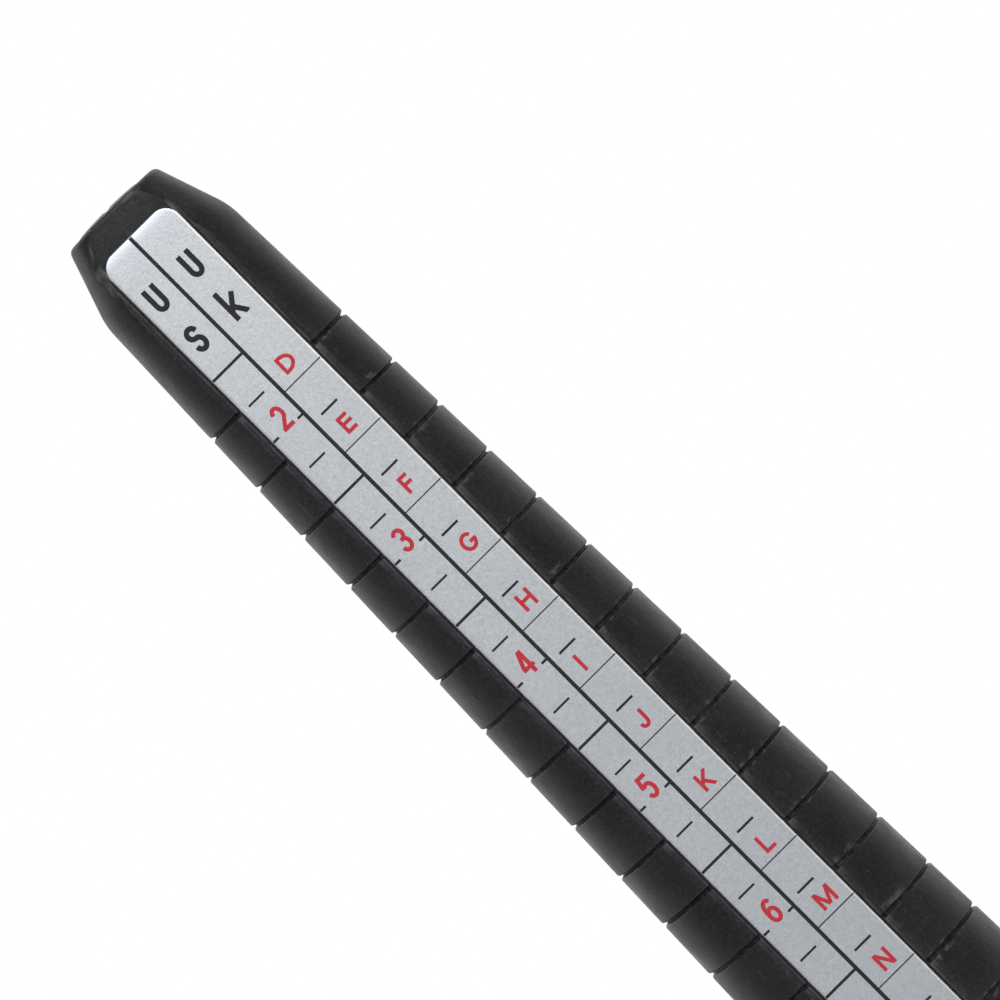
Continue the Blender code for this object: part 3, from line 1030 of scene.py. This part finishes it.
def make_end_cap(finish):
    """The cap, with a shallow dish in its flat face."""
    inside = CAP_SKIRT_RADIUS - CAP_SKIRT_WALL
    outline = [
        (CAP_MIDDLE_RADIUS, CAP_DISH_DEPTH),
        (CAP_DISH_RADIUS - CAP_DISH_SLOPE, CAP_DISH_DEPTH),
        (CAP_DISH_RADIUS - 0.4 * CAP_DISH_SLOPE, CAP_DISH_DEPTH - 0.1),
        (CAP_DISH_RADIUS, 0),
    ]
    outline += arc((CAP_RADIUS - CAP_EDGE, CAP_EDGE), CAP_EDGE, -90, 0, 8)
    outline += [
        (CAP_RADIUS, CAP_THICKNESS - CAP_RIM_EDGE),
        (CAP_RADIUS - CAP_RIM_EDGE, CAP_THICKNESS),
        (CAP_SKIRT_RADIUS, CAP_THICKNESS),
        (CAP_SKIRT_RADIUS, CAP_TOP_Z - CAP_SKIRT_EDGE),
        (CAP_SKIRT_RADIUS - CAP_SKIRT_EDGE, CAP_TOP_Z),
        (inside, CAP_TOP_Z),
        (inside, CAP_THICKNESS),
        (CAP_MIDDLE_RADIUS, CAP_THICKNESS),
    ]
    return loft("end_cap", [circle(radius, z) for radius, z in outline], finish)


# -------------------- materials


class Nodes:
    """A node tree, and short ways to add nodes to it."""

    def __init__(self, tree):
        self.tree = tree

    def node(self, kind, inputs=None, **settings):
        made = self.tree.nodes.new(kind)
        for key, value in settings.items():
            setattr(made, key, value)
        for key, value in (inputs or {}).items():
            self.feed(made.inputs[key], value)
        return made

    def feed(self, socket, value):
        if isinstance(value, bpy.types.NodeSocket):
            self.tree.links.new(value, socket)
        else:
            socket.default_value = value

    def span(self, value, low, high, to_low, to_high):
        """Maps low to to_low and high to to_high, and nothing goes beyond them."""
        inputs = (value, low, high, to_low, to_high)
        return self.node("ShaderNodeMapRange", dict(enumerate(inputs))).outputs["Result"]

    def fade(self, distance, low, high, to_low, to_high):
        """The same for a distance, with low and high in millimetres."""
        return self.span(distance, low * MM, high * MM, to_low, to_high)

    def maths(self, operation, *values):
        made = self.node("ShaderNodeMath", dict(enumerate(values)), operation=operation)
        return made.outputs[0]

    def times(self, first, *others):
        for other in others:
            first = self.maths("MULTIPLY", first, other)
        return first

    def most(self, first, *others):
        for other in others:
            first = self.maths("MAXIMUM", first, other)
        return first

    def mix(self, share, first, second):
        """Colours are (red, green, blue)."""
        inputs = {0: share}
        for key, colour in ((6, first), (7, second)):
            inputs[key] = (*colour, 1) if isinstance(colour, tuple) else colour
        return self.node("ShaderNodeMix", inputs, data_type="RGBA").outputs[2]


class Finish(Nodes):
    """One material. Its patterns are placed in metres, and their sizes are in millimetres."""

    def __init__(self, name):
        self.material = bpy.data.materials.new(name)
        self.material.use_nodes = True
        super().__init__(self.material.node_tree)
        self.shader = self.tree.nodes["Principled BSDF"]
        self.place = self.node("ShaderNodeTexCoord").outputs["Object"]
        self.axes = self.node("ShaderNodeSeparateXYZ", {0: self.place}).outputs

    def set(self, **values):
        """Sets the shader's own sockets. An underscore stands for a space."""
        for key, value in values.items():
            self.feed(self.shader.inputs[key.replace("_", " ")], value)

    def stretched(self, scale):
        found = self.node("ShaderNodeMapping", {"Vector": self.place, "Scale": scale})
        return found.outputs["Vector"]

    def noise(self, size, detail=2.0, roughness=0.5, place=None):
        """Noise from 0 to 1 whose features are about size millimetres across."""
        inputs = {"Vector": place or self.place, "Scale": 1 / (size * MM)}
        inputs.update({"Detail": detail, "Roughness": roughness})
        return self.node("ShaderNodeTexNoise", inputs).outputs[0]

    def clouds(self, size, detail, roughness, low, high, to_low=0, to_high=1):
        """Noise of which the levels from low to high are mapped to to_low and to_high."""
        return self.span(self.noise(size, detail, roughness), low, high, to_low, to_high)

    def specks(self, spacing, radius, share, strength=1):
        """Small round specks, in the given share of cells spacing millimetres across."""
        inputs = {"Vector": self.place, "Scale": 1 / (spacing * MM)}
        cells = self.node("ShaderNodeTexVoronoi", inputs, feature="F1").outputs
        near = self.span(cells["Distance"], radius / spacing, radius / spacing / 2, 0, 1)
        split = self.node("ShaderNodeSeparateColor", {"Color": cells["Color"]})
        return self.times(near, self.maths("LESS_THAN", split.outputs[0], share), strength)

    def heights(self, low, high):
        """1 above the higher of two heights in millimetres, and 0 below the lower. Given the
        other way round it is 1 below them."""
        ends = (0, 1) if high > low else (1, 0)
        return self.fade(self.axes[2], min(low, high), max(low, high), *ends)

    def across_plate(self):
        """Distance to the right of the plate's middle, for someone who faces that side."""
        side = self.maths("SIGN", self.axes[1], 0)
        right = self.times(self.axes[0], side, -1)
        return self.maths("SUBTRACT", right, PLATE_SHIFT * MM)

    def from_channel(self):
        """Distance from the middle plane of the channels, which are moved opposite ways."""
        return self.maths("ABSOLUTE", self.across_plate(), 0)

    def bump(self, height, millimetres, under=None):
        inputs = {"Height": height, "Distance": millimetres * MM, "Strength": 1.0}
        if under:
            inputs["Normal"] = under
        return self.node("ShaderNodeBump", inputs).outputs["Normal"]


def moulded_plastic(name, dark, light, grain, roughness, gloss):
    """Black moulded plastic: cloudy colour, fine grain, faint rubs, dust, and worn edges that are
    lightened partly as a painted edge highlight.
    """
    finish = Finish(name)
    colour = finish.mix(finish.clouds(5, 3, 0.6, 0.38, 0.62), dark, light)
    colour = finish.mix(finish.clouds(0.28, 3, 0.8, 0.45, 0.75, 0, 0.11), colour, DUST_AND_HIGHLIGHT)
    rubs = finish.noise(0.3, 2, 0.5, finish.stretched((1, 1, 0.15)))
    rubs = finish.times(finish.span(rubs, 0.63, 0.78, 0, 0.2), finish.clouds(5, 2, 0.5, 0.45, 0.6))
    colour = finish.mix(rubs, colour, DUST_AND_HIGHLIGHT)
    colour = finish.mix(finish.specks(0.7, 0.06, 0.2, 0.55), colour, DUST_AND_HIGHLIGHT)
    colour = finish.mix(finish.specks(2.1, 0.07, 0.13, 0.8), colour, LINT)
    # Edges lightened where the surface is convex: partly wear, partly a painted edge highlight.
    pointiness = finish.node("ShaderNodeNewGeometry").outputs["Pointiness"]
    wear_and_edge_highlight = finish.span(pointiness, 0.53, 0.62, 0, 0.4)
    wear_and_edge_highlight = finish.times(wear_and_edge_highlight, finish.clouds(1.5, 3, 0.5, 0.35, 0.6))
    colour = finish.mix(wear_and_edge_highlight, colour, DUST_AND_HIGHLIGHT)
    rough = finish.clouds(2.5, 3, 0.6, 0.3, 0.7, roughness - 0.06, roughness + 0.06)
    fine = finish.bump(finish.noise(grain, 2, 0.6), 0.02)
    slow = finish.bump(finish.noise(4), 0.05, fine)
    finish.set(Base_Color=colour, Roughness=rough, Normal=slow, Specular_IOR_Level=gloss)
    return finish


def channel_dust(finish, across, near, beyond_lip):
    """Dust along the channels: on their lips and walls, in the gap beside the plates, in a film and
    flecks on the lands, and in the open ends above the plates.
    The film on the lands is partly painted sheen that lightens them next to the channels."""
    streaks = finish.noise(0.3, 3, 0.7, finish.stretched((1, 1, 0.3)))
    on_lip = finish.fade(across, LIP_OUT - 0.04, LIP_OUT + 0.04, 1, 0)
    on_lip = finish.times(on_lip, beyond_lip, finish.span(streaks, 0.35, 0.75, 0.03, 0.3))
    in_gap = finish.fade(across, LIP_IN - 0.3, LIP_IN - 0.25, 0, 0.5)
    in_gap = finish.times(in_gap, finish.fade(across, LIP_IN, LIP_IN + 0.02, 1, 0))
    beside_plate = finish.heights(PLATE_TOP_Z + 0.2, PLATE_TOP_Z - 0.8)
    # Painted sheen, partly dust: a faint pale film on the lands, strongest next to the channels.
    dust_and_sheen_film = finish.times(near, finish.clouds(0.35, 3, 0.7, 0.35, 0.7, 0, 0.06), beyond_lip)
    flecks = finish.times(near, finish.specks(0.4, 0.045, 0.18, 0.7))
    dust = finish.most(finish.times(finish.most(on_lip, in_gap), beside_plate), dust_and_sheen_film, flecks)
    dust = finish.times(dust, finish.heights(CHANNEL_END_Z, CHANNEL_END_Z + 0.3))
    smudge = finish.clouds(0.3, 3, 0.75, 0.5, 0.8, 0, 0.02)
    smudge = finish.most(smudge, finish.specks(0.35, 0.05, 0.2, 0.5))
    return finish.most(dust, finish.times(smudge, finish.heights(PLATE_TOP_Z - 0.3, PLATE_TOP_Z), near))


def groove_dirt(finish, across, near):
    """Dirt caked in the grooves, and light dashes along their edges that are partly dirt and partly
    painted highlight.
    """
    flat = finish.stretched((1, 1, 0))
    radius = finish.node("ShaderNodeVectorMath", {0: flat}, operation="LENGTH").outputs["Value"]
    cone = finish.maths("ADD", finish.times(finish.axes[2], -0.5 / TAPER), cone_radius(0) * MM)
    depth = finish.maths("SUBTRACT", cone, radius)
    sunk = finish.fade(depth, 0.3 * GROOVE_DEPTH, 0.8 * GROOVE_DEPTH, 0, 1)
    caked = finish.clouds(0.6, 3, 0.7, 0.4, 0.75, 0.02, 0.3)
    caked = finish.times(sunk, finish.most(caked, finish.times(near, 0.2)))
    # Painted highlight, partly dirt: light dashes on the rounded edges of the bands.
    edge = finish.fade(depth, 0.02, 0.06, 0, 1)
    edge = finish.times(edge, finish.fade(depth, 0.09, 0.14, 1, 0))
    dirt_and_highlight_dashes = finish.times(edge, finish.clouds(0.7, 3, 0.5, 0.49, 0.62, 0, 0.28))
    from_size = finish.maths("ADD", finish.axes[2], -FIRST_SIZE_Z * MM)
    from_groove = finish.maths("PINGPONG", from_size, TAPER / math.pi / 2 * MM)
    return finish.times(
        finish.most(caked, dirt_and_highlight_dashes),
        finish.fade(from_groove, 0.3, 0.5, 1, 0),
        finish.fade(across, 3.75, 3.95, 0, 1),
        finish.heights(FIRST_SIZE_Z + 1, FIRST_SIZE_Z + 0.6),
        finish.heights(SHOULDER_Z, SHOULDER_Z + 1),
    )


def shaft_plastic():
    """The shaft's plastic, with dust, dirt, painted sheen and painted highlights over its own colour."""
    dark = (0.0022, 0.0025, 0.003)
    light = (0.0068, 0.007, 0.0074)
    finish = moulded_plastic("shaft_plastic_fine", dark, light, 0.3, 0.45, 0.26)
    colour = finish.shader.inputs["Base Color"].links[0].from_socket
    across = finish.from_channel()
    near = finish.fade(across, LIP_OUT, LIP_OUT + 1.2, 1, 0)
    beyond_lip = finish.fade(across, LIP_IN, LIP_IN + 0.02, 0, 1)
    dust_and_painted_light = channel_dust(finish, across, near, beyond_lip)
    dust_and_painted_light = finish.most(dust_and_painted_light, groove_dirt(finish, across, near))
    # Dust and dirt, with the painted sheen on the lands and painted highlights along the grooves' edges.
    finish.set(Base_Color=finish.mix(dust_and_painted_light, colour, PALE_DUST_AND_LIGHT))
    return finish.material


def grip_plastic():
    dark = (0.006, 0.006, 0.0065)
    light = (0.01, 0.01, 0.0105)
    return moulded_plastic("grip_plastic_fine", dark, light, 0.22, 0.54, 0.3).material


def scale_metal():
    """Satin silver of the scale plates, with a sparkling grain, faint smears and a painted highlight
    along the right-hand edge.
    """
    finish = Finish("scale_aluminium_fine")
    grain = finish.noise(0.16, 2, 0.7)
    colour = finish.mix(finish.span(grain, 0.3, 0.7, 0, 1), (0.39, 0.404, 0.42), (0.48, 0.494, 0.512))
    smear = finish.clouds(7, 3, 0.6, 0.4, 0.65, 0, 0.35)
    colour = finish.mix(smear, colour, (0.402, 0.417, 0.435))
    colour = finish.mix(finish.specks(0.35, 0.06, 0.15, 0.5), colour, (0.75, 0.76, 0.78))
    colour = finish.mix(finish.specks(1.9, 0.09, 0.06, 0.5), colour, (0.3, 0.3, 0.3))
    end = finish.times(finish.heights(PLATE_TOP_Z - 1.8, PLATE_TOP_Z - 0.2), 0.4)
    colour = finish.mix(end, colour, (0.52, 0.56, 0.61))
    # Painted highlight: a bright line along the right-hand edge of each plate, where light would catch
    # it.
    edge = PLATE_HALF_WIDTH - 0.17
    painted_edge_highlight = finish.fade(finish.across_plate(), edge, edge + 0.05, 0, 0.8)
    colour = finish.mix(painted_edge_highlight, colour, (0.82, 0.81, 0.79))
    rough = finish.clouds(0.3, 2, 0.6, 0.3, 0.7, 0.34, 0.46)
    finish.set(Base_Color=colour, Roughness=rough, Normal=finish.bump(grain, 0.006), Metallic=0.9)
    return finish.material


def cloudy_finish(name, tones, clouds, gloss_clouds, grain, depth):
    """Cloudy between two tones, unevenly glossy, and with a fine grain so many millimetres deep."""
    finish = Finish(name)
    finish.set(
        Base_Color=finish.mix(finish.clouds(*clouds), *tones),
        Roughness=finish.clouds(*gloss_clouds),
        Normal=finish.bump(finish.noise(grain), depth),
    )
    return finish


def printed_ink(name, *tones):
    """Screen-printed ink, a little thin in places."""
    clouds = (0.18, 2, 0.6, 0.45, 0.75, 0, 0.45)
    finish = cloudy_finish(name, tones, clouds, (0.5, 2, 0.5, 0.3, 0.7, 0.45, 0.6), 0.1, 0.004)
    finish.set(Specular_IOR_Level=0.2)
    return finish.material


def natural_plastic():
    tones = ((0.5, 0.48, 0.42), (0.6, 0.58, 0.52))
    gloss = (1.2, 2, 0.5, 0.3, 0.7, 0.42, 0.58)
    return cloudy_finish("natural_plastic_fine", tones, (3, 3, 0.5, 0.3, 0.7), gloss, 0.4, 0.01).material


def zinc_plate():
    tones = ((0.55, 0.55, 0.52), (0.66, 0.66, 0.66))
    gloss = (0.4, 3, 0.5, 0.3, 0.7, 0.24, 0.4)
    finish = cloudy_finish("zinc_steel_fine", tones, (1.5, 3, 0.6, 0.3, 0.7), gloss, 0.2, 0.008)
    finish.set(Metallic=1.0)
    return finish.material


def tape_finish():
    """Double-sided tape, with the fibres of its carrier."""
    finish = Finish("adhesive_tape_fine")
    fibres = finish.noise(0.3, 3, 0.6, finish.stretched((1, 1, 0.15)))
    colour = finish.mix(finish.span(fibres, 0.4, 0.65, 0, 1), (0.72, 0.7, 0.63), (0.84, 0.82, 0.77))
    rough = finish.clouds(0.8, 2, 0.5, 0.3, 0.7, 0.6, 0.8)
    finish.set(Base_Color=colour, Roughness=rough, Normal=finish.bump(fibres, 0.02))
    return finish.material


# -------------------- stage


def aimed(place, target, roll=0.0):
    """A matrix that looks from place to target, its top leaning right by roll degrees."""
    back = (Vector(place) - Vector(target)).normalized()
    up = (Vector((0, 0, 1)) - back * back.z).normalized()
    right = up.cross(back)
    angle = math.radians(roll)
    rolled_up = up * math.cos(angle) + right * math.sin(angle)
    rolled_right = right * math.cos(angle) - up * math.sin(angle)
    turned = Matrix((rolled_right, rolled_up, back)).transposed().to_4x4()
    return Matrix.Translation(Vector(place) * MM) @ turned


def make_camera():
    data = bpy.data.cameras.new("camera")
    data.lens = CAMERA_LENS
    data.sensor_width = SENSOR_WIDTH
    camera = bpy.data.objects.new("camera", data)
    azimuth = math.radians(CAMERA_AZIMUTH)
    elevation = math.radians(CAMERA_ELEVATION)
    level = math.cos(elevation)
    back = Vector((math.sin(azimuth) * level, -math.cos(azimuth) * level, math.sin(elevation)))
    place = Vector(CAMERA_AIM) + back * CAMERA_DISTANCE
    camera.matrix_world = aimed(place, CAMERA_AIM, CAMERA_ROLL)
    bpy.context.scene.collection.objects.link(camera)
    bpy.context.scene.camera = camera


def softbox(name, place, target, size, power):
    data = bpy.data.lights.new(name, "AREA")
    data.shape = "RECTANGLE"
    data.size = size[0] * MM
    data.size_y = size[1] * MM
    data.energy = power
    light = bpy.data.objects.new(name, data)
    light.matrix_world = aimed(place, target)
    light.visible_camera = False
    bpy.context.scene.collection.objects.link(light)


def make_world():
    """A white backdrop as the camera sees it. What lights the model is a soft room that is
    dimmer on both sides of the camera and brightest behind the model."""
    world = bpy.data.worlds.new("studio")
    world.use_nodes = True
    studio = Nodes(world.node_tree)
    backdrop = studio.tree.nodes["Background"]
    studio.feed(backdrop.inputs["Color"], (1, 1, 1, 1))
    direction = studio.node("ShaderNodeTexCoord").outputs["Generated"]
    depth = studio.node("ShaderNodeSeparateXYZ", {0: direction}).outputs["Y"]
    ramp = studio.node("ShaderNodeValToRGB", {"Fac": studio.span(depth, -1, 1, 0, 1)})
    while len(ramp.color_ramp.elements) < len(ROOM_LIGHT):
        ramp.color_ramp.elements.new(0.5)
    for element, (place, colour) in zip(ramp.color_ramp.elements, ROOM_LIGHT):
        element.position = place
        element.color = (*colour, 1)
    light = {"Color": ramp.outputs["Color"], "Strength": ROOM_STRENGTH}
    room = studio.node("ShaderNodeBackground", light).outputs[0]
    camera_ray = studio.node("ShaderNodeLightPath").outputs["Is Camera Ray"]
    seen = studio.node("ShaderNodeMixShader", {0: camera_ray, 1: room, 2: backdrop.outputs[0]})
    studio.feed(studio.tree.nodes["World Output"].inputs["Surface"], seen.outputs[0])
    bpy.context.scene.world = world


def make_stage():
    bpy.context.scene.view_settings.view_transform = "Standard"
    make_world()
    softbox("key", KEY_PLACE, KEY_AIM, KEY_SIZE, KEY_POWER)
    finish = Finish("pale_floor")
    colour = finish.mix(finish.clouds(60, 2, 0.5, 0.3, 0.7), (0.9, 0.9, 0.9), (0.92, 0.92, 0.92))
    finish.set(Base_Color=colour, Roughness=0.6)
    points = circle(FLOOR_RADIUS, FLOOR_Z)
    floor = mesh_object("floor", points, [tuple(range(len(points)))], finish.material)


# -------------------- the whole


def place_piece(piece, slot, *nodes):
    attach(piece, BODY)
    if nodes:
        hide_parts(*nodes)


def finish_nodes(finish, *nodes):
    """Gives the model's own nodes a finish."""
    for node in nodes:
        for slot in frame["nodes"][node].material_slots:
            slot.material = finish


def make_print(side, place, black_ink, red_ink):
    black = Print(side)
    red = Print(side)
    print_divider(black)
    if side == FRONT:
        print_title(black, "US", "Uk")
        print_us_scale(black, red)
        print_uk_scale(black, red)
    else:
        print_title(black, "EU", "JP")
        print_eu_scale(black, red)
        print_jp_scale(black, red)
    place_piece(black.make(f"{place}_black_print", black_ink), "scale_ink_black")
    place_piece(red.make(f"{place}_red_print", red_ink), "scale_ink_red")


def main():
    make_camera()
    make_stage()
    metal = scale_metal()
    black_ink = printed_ink("black_ink", (0.01, 0.01, 0.013), (0.03, 0.03, 0.036))
    red_ink = printed_ink("red_ink", (0.43, 0.02, 0.03), (0.5, 0.06, 0.075))
    place_piece(make_shaft(shaft_plastic()), "shaft_plastic", "shaft_moulding")
    for side, place in ((FRONT, "front"), (BACK, "back")):
        plate = make_plate(side, f"{place}_plate", metal)
        place_piece(plate, "scale_aluminium", f"{place}_scale_plate")
        make_print(side, place, black_ink, red_ink)
    handle = grip_plastic()
    place_piece(make_collar(handle), "grip_plastic", "handle_collar")
    place_piece(make_grip(handle), "grip_plastic", "handle_grip")
    place_piece(make_end_cap(handle), "grip_plastic", "handle_end_cap")
    finish_nodes(tape_finish(), "front_adhesive_strip", "back_adhesive_strip")
    finish_nodes(natural_plastic(), "spigot_plug")
    finish_nodes(zinc_plate(), "handle_screw", "screw_washer")


main()
